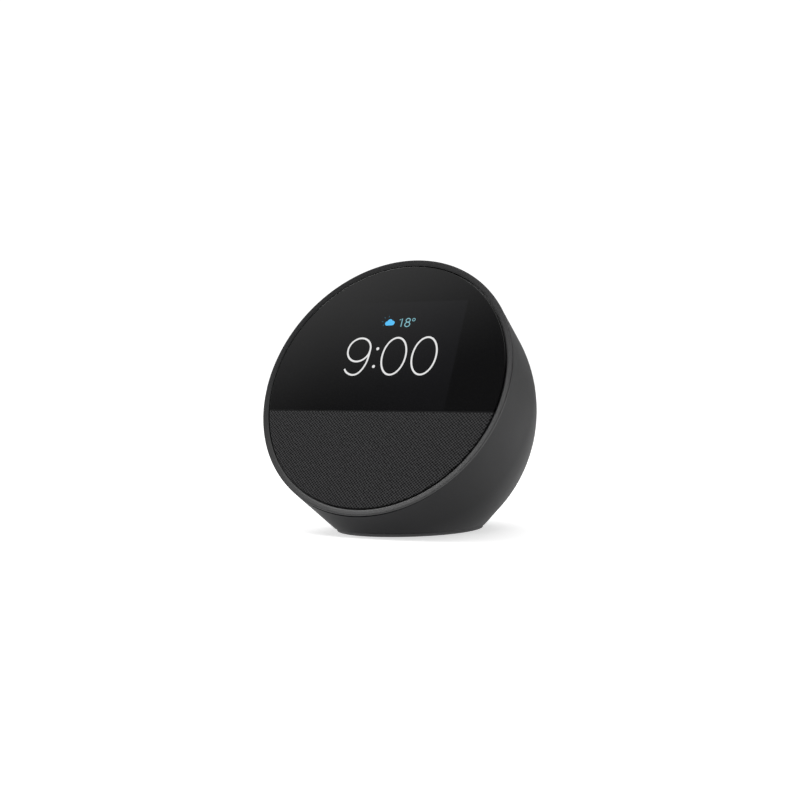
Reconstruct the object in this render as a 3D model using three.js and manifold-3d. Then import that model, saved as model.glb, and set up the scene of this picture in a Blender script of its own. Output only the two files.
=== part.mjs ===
// A tabletop smart speaker with a screen: a rounded shell cut by a leaning round face,
// which holds a display behind glass above and a fabric speaker grille below.
// Millimetres, +Z up, the face towards -Y, the origin on the table at the middle of the footprint.
import * as THREE from "three";
import { ConvexGeometry } from "three/addons/geometries/ConvexGeometry.js";
import { mergeVertices } from "three/addons/utils/BufferGeometryUtils.js";
import Module from "manifold-3d";

const wasm = await Module();
wasm.setup();

// ---- Driving dimensions ---------------------------------------------------------------

const depth = 103;
const rimRadius = 56.5; // the round face, out to the edge of the shell
const faceTilt = THREE.MathUtils.degToRad(25); // the face leans back from upright
const faceCentre = new THREE.Vector3(0, rimRadius * Math.sin(faceTilt) - depth / 2, 60.25);
const domeCentre = new THREE.Vector3(0, -7.5, 48.95);
const domeRadii = new THREE.Vector3(51.9, 59, 57.3);
const baseCentreY = -4.6;
const baseRadii = { x: 27.7, y: 37.4 };
const baseLevel = 0.45; // the height at which the skin has the base's outline
const wall = 2.4;
const gap = 0.3; // between pieces that rest on each other

const shellBottom = 1.6;
// Heights along the face's normal are measured from the rim's plane, outward.
const bezel = { inner: 54, lip: -0.25, back: -0.9, shelf: -1.25 };
const collar = { outer: 54.7, back: -1.6 };
const skirt = { outer: 53.2, inner: 51.9, back: -4.2 };
const faceRadius = bezel.inner - gap; // glass and grille
const splitY = -12.2; // the level line between glass and grille
const glass = { front: -0.05, back: -0.95 };

const display = { width: 63, height: 49, y: 13.6, front: -1.9, back: -4.3 };
const displayView = { width: 60, height: 45, y: 14.4 };
const frame = { radius: 51.6, front: -1.25, back: -6.2, grilleFloor: -2.7 };
const frameScrewPlaces = [[46.5, 10], [-46.5, 10], [30.5, -36.5], [-30.5, -36.5]];
const boardPosts = [[36.5, -1], [-36.5, -1], [34.5, 22], [-34.5, 22]];
const board = { radius: 43.5, bottomY: -4, front: -11, back: -12.6 };

const speaker = { y: -29.5, z: -6.5, radius: 20.5, mouth: 17 };
const enclosure = { halfWidth: 22.6, top: -6, front: -6.5, back: -38, wall: 1.6 };

const buttonLean = THREE.MathUtils.degToRad(30);
const buttonPitch = 15;
const button = { radius: 5, hole: 5.3, flange: 5.9, flangeTop: -8.2, flangeBottom: -9.2 };
const buttonBoard = { width: 52, depth: 12, top: -14.1, bottom: -15.3 };

const jack = { z: 15.7, sleeve: 7.2, sleeveStart: 31.5, nose: 4.6, bore: 3.1, boreFloor: 31 };
const basePlate = { bottom: 2.6, recess: 3.9, top: 5.1, edge: wall + gap };
const baseScrewX = 18.5;
const baseScrewY = 14;
const foot = { inset: 0.05, rim: 1.3, top: 2.3, step: wall + 2 * gap };

// ---- Materials ------------------------------------------------------------------------

const paint = (color, roughness, metalness = 0) =>
  new THREE.MeshStandardMaterial({ color, roughness, metalness });
const charcoalPlastic = paint(0x3c3c3d, 0.55);
const bezelPlastic = paint(0x414142, 0.5);
const blackPlastic = paint(0x1c1c1d, 0.6);
const blackGlass = paint(0x0a0a0b, 0.06);
const knitFabric = paint(0x2f2f30, 0.95);
const rubber = paint(0x202021, 0.9);
const foam = paint(0x2a2a2c, 1);
const steel = paint(0xa9acb0, 0.35, 1);
const aluminium = paint(0xc4c6c8, 0.4, 1);
const ferrite = paint(0x34363a, 0.6);
const copper = paint(0xb8703a, 0.35, 1);
const boardGreen = paint(0x1d4a34, 0.5);
const chipBlack = paint(0x18191b, 0.45);
const cableBlack = paint(0x151516, 0.6);
const amberFilm = paint(0xb5792a, 0.45);
const paper = paint(0x3a3a3c, 0.9);

// ---- Solids ---------------------------------------------------------------------------

// A closed geometry as a manifold-3d solid, moved by a matrix.
function solid(geometry, matrix = new THREE.Matrix4()) {
  const flat = geometry.index ? geometry.toNonIndexed() : geometry;
  const bare = new THREE.BufferGeometry();
  bare.setAttribute("position", flat.getAttribute("position").clone());
  const merged = mergeVertices(bare.applyMatrix4(matrix), 1e-4);
  return new wasm.Manifold(
    new wasm.Mesh({
      numProp: 3,
      vertProperties: merged.getAttribute("position").array,
      triVerts: new Uint32Array(merged.index.array),
    }),
  );
}

// A manifold-3d solid as a three.js geometry.
function geometryOf(manifold) {
  const mesh = manifold.getMesh();
  const geometry = new THREE.BufferGeometry();
  geometry.setAttribute("position", new THREE.BufferAttribute(new Float32Array(mesh.vertProperties), 3));
  geometry.setIndex(new THREE.BufferAttribute(new Uint32Array(mesh.triVerts), 1));
  geometry.computeVertexNormals();
  return geometry;
}

const at = (x, y, z) => new THREE.Matrix4().makeTranslation(x, y, z);
const box = (w, d, h, x, y, z) => solid(new THREE.BoxGeometry(w, d, h), at(x, y, z));

// A cylinder or tube along Z, from low to high.
function post(radius, low, high, x = 0, y = 0, sides = 24) {
  const geometry = new THREE.CylinderGeometry(radius, radius, high - low, sides).rotateX(Math.PI / 2);
  return solid(geometry, at(x, y, (low + high) / 2));
}
const ring = (outer, inner, low, high, sides = 36) =>
  post(outer, low, high, 0, 0, sides).subtract(post(inner, low - 1, high + 1, 0, 0, sides));

// A closed profile of [radius, z] points turned about Z.
function turned(profile, sides = 24) {
  const points = profile.map(([r, z]) => new THREE.Vector2(r, z));
  if (THREE.ShapeUtils.isClockWise(points)) points.reverse();
  return new THREE.LatheGeometry([...points, points[0]], sides).rotateX(Math.PI / 2);
}

// A flat outline extruded along Z, from low to high.
function slab(shape, low, high, curveSegments = 12) {
  const settings = { depth: high - low, bevelEnabled: false, curveSegments };
  return new THREE.ExtrudeGeometry(shape, settings).translate(0, 0, low);
}

function roundedRectangle(width, height, radius, y = 0) {
  const [w, h] = [width / 2, height / 2];
  const shape = new THREE.Shape();
  shape.absarc(w - radius, y + h - radius, radius, 0, Math.PI / 2);
  shape.absarc(radius - w, y + h - radius, radius, Math.PI / 2, Math.PI);
  shape.absarc(radius - w, y + radius - h, radius, Math.PI, 1.5 * Math.PI);
  shape.absarc(w - radius, y + radius - h, radius, 1.5 * Math.PI, 2 * Math.PI);
  return shape;
}

function ellipse(radiusX, radiusY, centreY = 0) {
  return new THREE.Shape().absellipse(0, centreY, radiusX, radiusY, 0, 2 * Math.PI, false);
}

// The part of a disc above or below a level line.
function discSegment(radius, lineY, above) {
  const start = Math.asin(lineY / radius);
  const shape = new THREE.Shape();
  if (above) shape.absarc(0, 0, radius, start, Math.PI - start, false);
  else shape.absarc(0, 0, radius, Math.PI - start, 2 * Math.PI + start, false);
  return shape;
}

// A cable of the given radius along a smooth curve through the points.
function cable(points, radius, steps, sides = 8) {
  const section = new THREE.Shape();
  for (let i = 0; i < sides; i++) {
    const turn = (2 * Math.PI * i) / sides;
    if (i) section.lineTo(radius * Math.cos(turn), radius * Math.sin(turn));
    else section.moveTo(radius, 0);
  }
  const extrudePath = new THREE.CatmullRomCurve3(points.map((p) => new THREE.Vector3(...p)));
  return new THREE.ExtrudeGeometry(section, { extrudePath, steps });
}

// A thin strip whose side view runs through [y, z] points, extruded along X.
function strip(points, width, thickness, centreX) {
  const line = points.map(([y, z]) => new THREE.Vector2(y, z));
  const sideOf = (i) => {
    const a = line[Math.max(i - 1, 0)];
    const b = line[Math.min(i + 1, line.length - 1)];
    const along = b.clone().sub(a).normalize();
    return new THREE.Vector2(-along.y, along.x).multiplyScalar(thickness / 2);
  };
  const left = line.map((p, i) => p.clone().add(sideOf(i)));
  const right = line.map((p, i) => p.clone().sub(sideOf(i))).reverse();
  const geometry = slab(new THREE.Shape([...left, ...right]), -width / 2, width / 2);
  // The outline's own x and y are the strip's y and z, and its extrusion runs along X.
  const toSideView = new THREE.Matrix4().makeBasis(
    new THREE.Vector3(0, 1, 0),
    new THREE.Vector3(0, 0, 1),
    new THREE.Vector3(1, 0, 0),
  );
  return geometry.applyMatrix4(toSideView).translate(centreX, 0, 0);
}

// ---- Frames ---------------------------------------------------------------------------

const speakerPart = new THREE.Group();

// In the face's frame X runs across, Y up the leaning face and Z out of it.
const face = new THREE.Group();
face.position.copy(faceCentre);
face.rotation.x = Math.PI / 2 - faceTilt;
speakerPart.add(face);

// The driver's frame has its origin on the back of the front frame, with Z out of the cone.
const driver = new THREE.Group();
driver.position.set(0, speaker.y, speaker.z);
face.add(driver);

// In the buttons' frame Z is the outward normal of the dome behind the top of the face.
const lean = new THREE.Vector3(0, Math.sin(buttonLean), Math.cos(buttonLean));
const buttonPlace = domeRadii.clone().multiply(domeRadii).multiply(lean)
  .divideScalar(domeRadii.clone().multiply(lean).length()).add(domeCentre);
const buttons = new THREE.Group();
buttons.position.copy(buttonPlace);
buttons.rotation.x = -buttonLean;
speakerPart.add(buttons);
speakerPart.updateMatrixWorld(true);

function add(group, name, geometry, material) {
  const mesh = new THREE.Mesh(geometry, material);
  mesh.name = name;
  group.add(mesh);
}

// ---- The shell ------------------------------------------------------------------------

// The outer surface is the smallest convex skin round the rim's disc, an ellipsoid behind it
// and an oval on the table. An inset moves every one of them in by the same amount.
function skin(inset, rimForward, floor, step) {
  const points = [];
  const count = Math.round(360 / step);
  for (let i = 0; i < count; i++) {
    const turn = (2 * Math.PI * i) / count;
    const [c, s] = [Math.cos(turn), Math.sin(turn)];
    const rim = new THREE.Vector3(c, s, 0).multiplyScalar(rimRadius - inset);
    points.push(rim.clone().applyMatrix4(face.matrixWorld));
    if (rimForward) points.push(rim.setZ(rimForward).applyMatrix4(face.matrixWorld));
    points.push(
      new THREE.Vector3((baseRadii.x - inset) * c, baseCentreY + (baseRadii.y - inset) * s, floor),
    );
  }
  const toFace = face.matrixWorld.clone().invert();
  const axis = new THREE.Matrix4().makeRotationX(Math.PI / 2 - faceTilt);
  for (let polar = step / 2; polar < 180; polar += step) {
    for (let i = 0; i < count; i++) {
      const ray = new THREE.Vector3().setFromSphericalCoords(
        1, THREE.MathUtils.degToRad(polar), (2 * Math.PI * i) / count);
      ray.set(ray.x, ray.z, ray.y).applyMatrix4(axis);
      const p = ray.multiply(domeRadii.clone().subScalar(inset)).add(domeCentre);
      if (p.clone().applyMatrix4(toFace).z < -1 && p.z > floor + 1) points.push(p);
    }
  }
  return solid(new ConvexGeometry(points));
}

const outerSkin = skin(0, 0, baseLevel, 9);
const innerSkin = skin(wall, 6, baseLevel - 1, 15);

function rearHousing() {
  const inFace = (s) => s.transform(face.matrixWorld.elements);
  const inButtons = (s) => s.transform(buttons.matrixWorld.elements);
  const alongY = (radius, low, high, z) =>
    solid(new THREE.CylinderGeometry(radius, radius, high - low, 24), at(0, (low + high) / 2, z));

  let shell = outerSkin.subtract(innerSkin);
  shell = shell.subtract(box(200, 200, 20, 0, 0, shellBottom - 10));

  // Bosses for the front frame's screws, and for the base plate's, each on a rib.
  const bosses = [
    ...frameScrewPlaces.map(([x, y]) => inFace(post(3.2, -30, frame.back - gap, x, y, 16))),
    ...[1, -1].flatMap((side) => [
      post(3.2, basePlate.top + gap, 14, side * baseScrewX, baseScrewY, 16),
      box(16, 1.8, 8, side * (baseScrewX + 8), baseScrewY, 10),
    ]),
    ...frameScrewPlaces.map(([x, y]) => {
      const reach = Math.hypot(x, y) + 8;
      const rib = new THREE.Matrix4().makeRotationZ(Math.atan2(y, x));
      rib.multiply(at(reach, 0, -19));
      return inFace(solid(new THREE.BoxGeometry(15, 1.8, 22), rib));
    }),
    ...[1, -1].map((side) => inButtons(post(1.8, buttonBoard.top + gap, 0, side * 23.6, 0, 12))),
    alongY(jack.sleeve, jack.sleeveStart, 60, jack.z),
  ];
  for (const boss of bosses) shell = shell.add(boss.intersect(outerSkin));

  const holes = [
    inFace(post(80, bezel.back - gap, 30)),
    inFace(post(collar.outer + gap, collar.back - gap, 10, 0, 0, 80)),
    inFace(post(skirt.outer + gap, skirt.back - gap, 10, 0, 0, 80)),
    ...frameScrewPlaces.map(([x, y]) => inFace(post(1.3, -16, 0, x, y, 8))),
    ...[1, -1].map((side) => post(1.3, 0, 11, side * baseScrewX, baseScrewY, 8)),
    ...[-1, 0, 1].map((i) => inButtons(post(button.hole, -9, 6, i * buttonPitch, 0, 24))),
    ...[-0.5, 0.5].map((i) => inButtons(post(0.6, -9, 6, i * buttonPitch, 0, 8))),
    alongY(jack.nose + gap, 20, 70, jack.z),
  ];
  for (const hole of holes) shell = shell.subtract(hole);
  return shell;
}
add(speakerPart, "rear_housing", geometryOf(rearHousing()), charcoalPlastic);

// ---- The face: bezel, glass and grille ------------------------------------------------

add(face, "front_bezel", turned([
  [bezel.inner, bezel.shelf],
  [skirt.inner, bezel.shelf],
  [skirt.inner, skirt.back],
  [skirt.outer, skirt.back],
  [skirt.outer, collar.back],
  [collar.outer, collar.back],
  [collar.outer, bezel.back],
  [rimRadius, bezel.back],
  [rimRadius, 0],
  [bezel.inner, bezel.lip],
], 72), bezelPlastic);

const glassShape = discSegment(faceRadius, splitY, true);
add(face, "cover_glass", slab(glassShape, glass.back, glass.front, 36), blackGlass);

const fabricLine = splitY - 0.1;
const fabricShape = discSegment(faceRadius, fabricLine, false);
add(face, "grille_fabric", slab(fabricShape, -0.4, -0.05, 30), knitFabric);

function grilleFrame() {
  let plate = solid(slab(discSegment(51.5, splitY - 0.4, false), -2.4, -0.7, 20));
  const pitch = 7.6;
  for (let row = 0; row < 5; row++) {
    const y = splitY - 5 - row * pitch * Math.sin(Math.PI / 3);
    const reach = Math.sqrt(48.5 ** 2 - y ** 2);
    const shift = row % 2 ? pitch / 2 : 0;
    const count = Math.floor((reach - shift) / pitch);
    for (let i = -count - (row % 2); i <= count; i++)
      plate = plate.subtract(post(2.6, -4, 1, i * pitch + shift, y, 6));
  }
  return plate;
}
add(face, "grille_frame", geometryOf(grilleFrame()), blackPlastic);

// ---- The display and the frame that carries the face ----------------------------------

const sheet = (width, height, y, low, high) => slab(roundedRectangle(width, height, 1, y), low, high, 2);

add(face, "touch_sensor", sheet(66, 50.5, display.y, -1.65, -1.25 + 0.05), blackGlass);
add(face, "lcd_panel", sheet(displayView.width + 2.6, display.height - 0.4, display.y, display.back, display.front),
  blackGlass);

function lcdBracket() {
  const outside = solid(sheet(display.width, display.height, display.y, -5.6, -4.6));
  const window = solid(sheet(30, 14, display.y + 6, -7, -3));
  return outside.subtract(window);
}
add(face, "lcd_bracket", geometryOf(lcdBracket()), steel);

function frontFrame() {
  let plate = post(frame.radius, frame.back, frame.front, 0, 0, 48);
  plate = plate.subtract(solid(slab(discSegment(60, splitY - 0.1, false), frame.grilleFloor, 1, 12)));
  plate = plate.subtract(solid(sheet(66.6, 51.2, display.y, -1.9, 0)));
  plate = plate.subtract(solid(sheet(display.width + 0.6, display.height + 0.6, display.y, -10, 0)));
  plate = plate.subtract(post(speaker.mouth, -10, 0, 0, speaker.y, 40));
  for (const [x, y] of boardPosts) plate = plate.add(post(2.2, board.front + gap, frame.back + 1, x, y, 12));
  for (const [x, y] of frameScrewPlaces) {
    plate = plate.subtract(post(1.7, -10, 0, x, y, 12));
    plate = plate.subtract(post(3.4, -4.4, 0, x, y, 16));
  }
  return plate;
}
add(face, "front_frame", geometryOf(frontFrame()), blackPlastic);

function screw(headRadius, headHeight, shankRadius, length) {
  return turned([
    [0, 0],
    [0, -headHeight - length],
    [shankRadius * 0.6, -headHeight - length],
    [shankRadius, -headHeight - length + 1],
    [shankRadius, -headHeight],
    [headRadius, -headHeight],
    [headRadius, 0],
  ], 10);
}
frameScrewPlaces.forEach(([x, y], i) => {
  add(face, `frame_screw_${i + 1}`, screw(2.8, 1.4, 1, 7).translate(x, y, -2.9), steel);
});

add(face, "display_flex", strip(
  [[33, -5.9], [36.2, -6.1], [37.3, -7.4], [36.6, -9], [34, -10.5]], 18, 0.3, -12), amberFilm);

// ---- The driver -----------------------------------------------------------------------

const dr = speaker.radius;
add(driver, "speaker_gasket", geometryOf(ring(dr, 18.3, -0.5, 0)), foam);

function speakerBasket() {
  const bowl = solid(turned([
    [18.2, -0.8], [18.2, -2], [17.2, -3], [13.2, -11.2], [9.6, -11.2], [9.6, -12.2],
    [14, -12.2], [18.4, -3.3], [dr, -1.9], [dr, -0.8],
  ]));
  let open = bowl;
  for (let i = 0; i < 4; i++) {
    const turn = new THREE.Matrix4().makeRotationZ((i + 0.5) * (Math.PI / 2));
    const window = solid(new THREE.BoxGeometry(12, 14, 5.4), at(16.5, 0, -7.2).premultiply(turn));
    open = open.subtract(window);
  }
  return open;
}
add(driver, "speaker_basket", geometryOf(speakerBasket()), steel);

// A half roll of rubber between the basket's rim and the cone.
function halfRoll(inner, outer, thickness, z, steps = 4) {
  const middle = (inner + outer) / 2;
  const arc = (radius, i) => {
    const turn = (Math.PI * i) / steps;
    return [middle + radius * Math.cos(turn), z + radius * Math.sin(turn)];
  };
  const over = Array.from({ length: steps + 1 }, (_, i) => arc((outer - inner) / 2, i));
  const under = Array.from({ length: steps + 1 }, (_, i) => arc((outer - inner) / 2 - thickness, steps - i));
  return turned([...over, ...under]);
}
add(driver, "speaker_surround", halfRoll(14.9, 17.9, 0.4, -1.6), rubber);

add(driver, "speaker_cone", turned([
  [14.5, -1.4], [6.6, -7.6], [6.6, -8.2], [7, -8.2], [14.6, -2],
]), paper);
add(driver, "speaker_dust_cap", turned([
  [0, -5.4], [0, -5.8], [3.2, -6.3], [6.2, -8.1], [6.2, -7.6], [3.4, -5.9],
]), paper);
add(driver, "speaker_voice_coil", turned([[6.15, -8.6], [6.15, -15], [6.7, -15], [6.7, -8.6]]), copper);
add(driver, "speaker_spider", turned([
  [7.1, -9.4], [8.3, -10], [9.5, -9.2], [10.7, -10], [12, -9.3],
  [12, -9.7], [10.7, -10.4], [9.5, -9.6], [8.3, -10.4], [7.1, -9.8],
]), foam);
add(driver, "speaker_top_plate", turned([[7.2, -12.5], [7.2, -14.3], [14, -14.3], [14, -12.5]]), steel);
add(driver, "speaker_magnet", turned([[8, -14.6], [8, -19.6], [14.4, -19.6], [14.4, -14.6]]), ferrite);
add(driver, "speaker_yoke", turned([
  [0, -12.6], [0, -22], [14, -22], [14, -19.9], [5.6, -19.9], [5.6, -12.6],
]), steel);

// The sealed chamber behind the driver follows the shell where the two come close.
function speakerEnclosure() {
  const inFace = (s) => s.transform(face.matrixWorld.elements);
  const chamber = (inset, front) => {
    const { halfWidth, top, back } = enclosure;
    const outline = roundedRectangle(2 * (halfWidth - inset), 52 - 2 * inset, 5, top - 26);
    const block = inFace(solid(slab(outline, back + inset, front, 4)));
    const room = skin(wall + 1 + inset, 6, basePlate.top + gap + inset, 18);
    return block.intersect(room);
  };
  const lead = solid(cable([[18, -12, -24], [19, -8, -24], [20, 2, -24]], 1.2, 6, 8));
  return chamber(0, enclosure.front).subtract(chamber(enclosure.wall, 4)).subtract(inFace(lead));
}
add(speakerPart, "speaker_enclosure", geometryOf(speakerEnclosure()), blackPlastic);
add(face, "speaker_cable", cable(
  [[18, -12, -24], [19, -8, -24], [20, -3.5, -23], [22, -1, -18], [24, 0, -13.2]], 0.8, 16, 6), cableBlack);

// ---- The electronics behind the display -----------------------------------------------

function mainBoard() {
  let pcb = solid(slab(discSegment(board.radius, board.bottomY, true), board.back, board.front, 24));
  const parts = [
    [9, 5, 4, 30, 3], [7, 5, 4, 24, 12], [6, 6, 3, 27, 22], [5, 5, 2.4, -33, 6], [8, 4, 2, 8, 39],
  ];
  for (const [w, d, h, x, y] of parts) pcb = pcb.add(box(w, d, h, x, y, board.back - h / 2 + 0.2));
  return pcb.subtract(solid(cable([[24, 0, -13.4], [24, 0, -14], [23, -1, -17]], 1.2, 4, 6)));
}
add(face, "main_board", geometryOf(mainBoard()), boardGreen);
add(face, "system_chip", geometryOf(box(14, 14, 1.3, -6, 20, board.back - gap - 0.65)), chipBlack);

function shieldCan() {
  const [x, y, top] = [-6, 20, board.back - gap];
  return box(34, 26, 3, x, y, top - 1.5).subtract(box(33, 25, 4, x, y, top + 2 - 2.6));
}
add(face, "shield_can", geometryOf(shieldCan()), steel);
add(face, "thermal_pad", geometryOf(box(24, 18, 1, -6, 20, -16.7)), foam);

function heatSink() {
  let sink = box(48, 30, 1.8, -6, 20, -18.4);
  for (let i = 0; i < 7; i++) sink = sink.add(box(1.2, 30, 7, -6 + (i - 3) * 7.2, 20, -22.4));
  return sink;
}
add(face, "heat_sink", geometryOf(heatSink()), aluminium);
add(face, "wifi_antenna", geometryOf(box(0.8, 22, 9, -40, 14, -21)), amberFilm);
add(face, "antenna_cable", cable([[-39, 6, -17.2], [-38, 5, -15], [-36, 6, -13.5]], 0.6, 8, 6), cableBlack);

// ---- Buttons, switches and microphones ------------------------------------------------

const buttonNames = ["volume_down", "mic_mute", "volume_up"];
const toButtons = buttons.matrixWorld.clone().invert();
buttonNames.forEach((name, i) => {
  const x = (i - 1) * buttonPitch;
  const cap = post(button.radius, button.flangeTop - 0.2, 6, x, 0, 24)
    .transform(buttons.matrixWorld.elements)
    .intersect(outerSkin)
    .transform(toButtons.elements);
  const whole = cap.add(post(button.flange, button.flangeBottom, button.flangeTop, x, 0, 24));
  add(buttons, `${name}_button`, geometryOf(whole), charcoalPlastic);
  add(buttons, `${name}_plunger`, geometryOf(post(1.7, -10.2, -9.5, x, 0, 16)), blackPlastic);
  add(buttons, `${name}_switch`, geometryOf(box(6, 6, 2.7, x, 0, -12.45)), chipBlack);
});

["left", "right"].forEach((side, i) => {
  const x = (i - 0.5) * buttonPitch;
  add(buttons, `microphone_${side}`, geometryOf(box(3, 3.8, 1.1, x, 0, -13.25)), steel);
  const tube = post(1.2, -12.4, -3.9, x, 0, 12).subtract(post(0.6, -20, 0, x, 0, 8));
  add(buttons, `microphone_gasket_${side}`, geometryOf(tube), rubber);
});

const boardShape = roundedRectangle(buttonBoard.width, buttonBoard.depth, 2);
add(buttons, "button_board", slab(boardShape, buttonBoard.bottom, buttonBoard.top, 3), boardGreen);
add(face, "button_flex", strip(
  [[41.4, -21.4], [40.8, -19], [39.4, -16.4], [38.2, -15.2]], 8, 0.3, 8), amberFilm);

// ---- Power inlet ----------------------------------------------------------------------

function dcJack() {
  const alongY = (radius, low, high) =>
    solid(new THREE.CylinderGeometry(radius, radius, high - low, 24), at(0, (low + high) / 2, jack.z));
  const body = box(9.4, 11, 10.4, 0, 25, jack.z);
  const nose = alongY(jack.nose, 30, 60).intersect(outerSkin);
  return body.add(nose).subtract(alongY(jack.bore, jack.boreFloor, 60));
}
add(speakerPart, "dc_jack", geometryOf(dcJack()), blackPlastic);
const pinLength = 9;
const pin = new THREE.CylinderGeometry(0.98, 0.98, pinLength, 12);
pin.translate(0, jack.boreFloor + gap + pinLength / 2, jack.z);
add(speakerPart, "jack_pin", pin, steel);
add(speakerPart, "jack_board", geometryOf(box(20, 17, 1.2, 0, 22, 9.4)), boardGreen);
add(face, "power_cable", cable(
  [[6, -26.5, -52.8], [9, -20, -52], [16, -10, -47], [25, -3, -38], [29.5, 2, -27], [30, 3, -17]],
  1.3, 20), cableBlack);

// ---- The base -------------------------------------------------------------------------

function basePlateSolid() {
  const { bottom, recess, top, edge } = basePlate;
  const outline = ellipse(baseRadii.x - edge, baseRadii.y - edge, baseCentreY);
  let plate = solid(slab(outline, bottom, top, 30));
  for (const side of [1, -1]) {
    plate = plate.subtract(post(1.5, 0, 9, side * baseScrewX, baseScrewY, 12));
    plate = plate.subtract(post(3.2, 0, recess, side * baseScrewX, baseScrewY, 16));
  }
  return plate;
}
add(speakerPart, "base_plate", geometryOf(basePlateSolid()), blackPlastic);
[["right", 1], ["left", -1]].forEach(([name, side]) => {
  const headHeight = 0.7;
  const upright = screw(2.5, headHeight, 1, 7).rotateX(Math.PI);
  upright.translate(side * baseScrewX, baseScrewY, basePlate.recess - headHeight);
  add(speakerPart, `base_screw_${name}`, upright, steel);
});
add(speakerPart, "ballast_plate", slab(ellipse(14.4, 14, 13), basePlate.top + gap, 8.4, 16), steel);

// The foot's rim shows as a thin band below the shell, and its raised middle fills the shell's
// opening under the base plate.
const footOval = (inset) => ellipse(baseRadii.x - inset, baseRadii.y - inset, baseCentreY);
const footSolid = solid(slab(footOval(foot.inset), 0, foot.rim, 30))
  .add(solid(slab(footOval(foot.step), foot.rim - 0.5, foot.top, 30)));
add(speakerPart, "rubber_foot", geometryOf(footSolid), rubber);

export default speakerPart;
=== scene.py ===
import math
import bmesh
import bpy
from mathutils import Matrix, Vector
from mathutils.bvhtree import BVHTree


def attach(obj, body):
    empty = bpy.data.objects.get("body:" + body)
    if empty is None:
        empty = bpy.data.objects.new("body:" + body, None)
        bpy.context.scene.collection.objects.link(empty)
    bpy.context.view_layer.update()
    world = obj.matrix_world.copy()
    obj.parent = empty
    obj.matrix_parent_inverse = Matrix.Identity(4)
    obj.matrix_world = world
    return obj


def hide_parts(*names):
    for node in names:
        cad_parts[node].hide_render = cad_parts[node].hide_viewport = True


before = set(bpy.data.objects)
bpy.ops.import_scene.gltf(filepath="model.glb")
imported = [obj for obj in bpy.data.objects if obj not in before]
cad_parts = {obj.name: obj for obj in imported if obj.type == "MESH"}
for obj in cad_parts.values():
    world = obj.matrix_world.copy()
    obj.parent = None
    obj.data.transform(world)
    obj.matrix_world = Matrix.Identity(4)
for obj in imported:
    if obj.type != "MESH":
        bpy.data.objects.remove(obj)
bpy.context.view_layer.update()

# ---- Stamped and turned steel ---------------------------------------------------------
# The driver's basket, yoke and top plate, the display's bracket, the shield can, the ballast
# plate and the screws. They are pressed or turned from mild steel and zinc plated, and sit
# inside the case, screwed or crimped to their neighbours.

MM = 0.001


def linear(hex_colour):
    """An sRGB hex colour as linear RGBA."""
    channels = [int(hex_colour[i:i + 2], 16) / 255 for i in (1, 3, 5)]
    return (*[c / 12.92 if c <= 0.04045 else ((c + 0.055) / 1.055) ** 2.4 for c in channels], 1.0)


def new_material(name):
    """An empty node material and its tree."""
    material = bpy.data.materials.new(name)
    material.use_nodes = True
    material.node_tree.nodes.clear()
    return material, material.node_tree


def add(tree, kind, inputs=None, **settings):
    """A shader node with its settings. Each input is a value, or another node's output."""
    made = tree.nodes.new("ShaderNode" + kind)
    for name, value in settings.items():
        setattr(made, name, value)
    for name, value in (inputs or {}).items():
        if isinstance(value, bpy.types.NodeSocket):
            tree.links.new(value, made.inputs[name])
        else:
            made.inputs[name].default_value = value
    return made


def paint(material, *nodes):
    """Gives CAD nodes a material."""
    for name in nodes:
        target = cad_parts[name]
        target.data.materials.clear()
        target.data.materials.append(material)


# Zinc plate on steel: a cool grey metal with a faint crystal spangle about 2 mm across.
zinc_plate, tree = new_material("zinc_plated_steel")
where = add(tree, "TexCoord").outputs["Object"]
spangle = add(tree, "TexVoronoi", {"Vector": where, "Scale": 1 / (2 * MM)})
tone = add(tree, "MixRGB", {
    "Fac": spangle.outputs["Color"], "Color1": linear("#9a9da1"), "Color2": linear("#b4b7ba")})
rubbed = add(tree, "MapRange", {
    "Value": spangle.outputs["Distance"], "From Max": 0.001, "To Min": 0.28, "To Max": 0.42})
shader = add(tree, "BsdfPrincipled", {
    "Base Color": tone.outputs[0], "Roughness": rubbed.outputs[0], "Metallic": 1.0})
add(tree, "OutputMaterial", {"Surface": shader.outputs[0]})
paint(zinc_plate, "lcd_bracket", "speaker_basket", "speaker_top_plate", "speaker_yoke",
      "shield_can", "ballast_plate", "microphone_left", "microphone_right", "jack_pin",
      *[f"frame_screw_{i}" for i in range(1, 5)], "base_screw_left", "base_screw_right")

# ---- Heat sink ------------------------------------------------------------------------
# A sawn length of extruded aluminium with fins, pressed against the shield can by a
# thermal pad. It is left bare.

# Extruded aluminium: pale, with die lines 0.4 mm apart along the fins.
extruded, tree = new_material("extruded_aluminium")
where = add(tree, "TexCoord").outputs["Object"]
squeezed = add(tree, "Mapping", {"Vector": where, "Scale": (1.0, 0.03, 0.03)})
die_lines = add(tree, "TexNoise", {
    "Vector": squeezed.outputs[0], "Scale": 1 / (0.4 * MM), "Detail": 2.0})
tone = add(tree, "MixRGB", {
    "Fac": die_lines.outputs["Fac"], "Color1": linear("#b9bbbd"), "Color2": linear("#d2d3d4")})
ridges = add(tree, "Bump", {
    "Height": die_lines.outputs["Fac"], "Distance": 0.02 * MM, "Strength": 0.4})
shader = add(tree, "BsdfPrincipled", {
    "Base Color": tone.outputs[0], "Normal": ridges.outputs[0], "Roughness": 0.34, "Metallic": 1.0})
add(tree, "OutputMaterial", {"Surface": shader.outputs[0]})
paint(extruded, "heat_sink")

# ---- Driver's soft and magnetic parts -------------------------------------------------
# The cone and dust cap are pressed paper pulp, the spider is resin-dipped cloth, the magnet
# is a sintered ferrite ring and the coil is a single layer of copper wire. All are glued.

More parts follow.
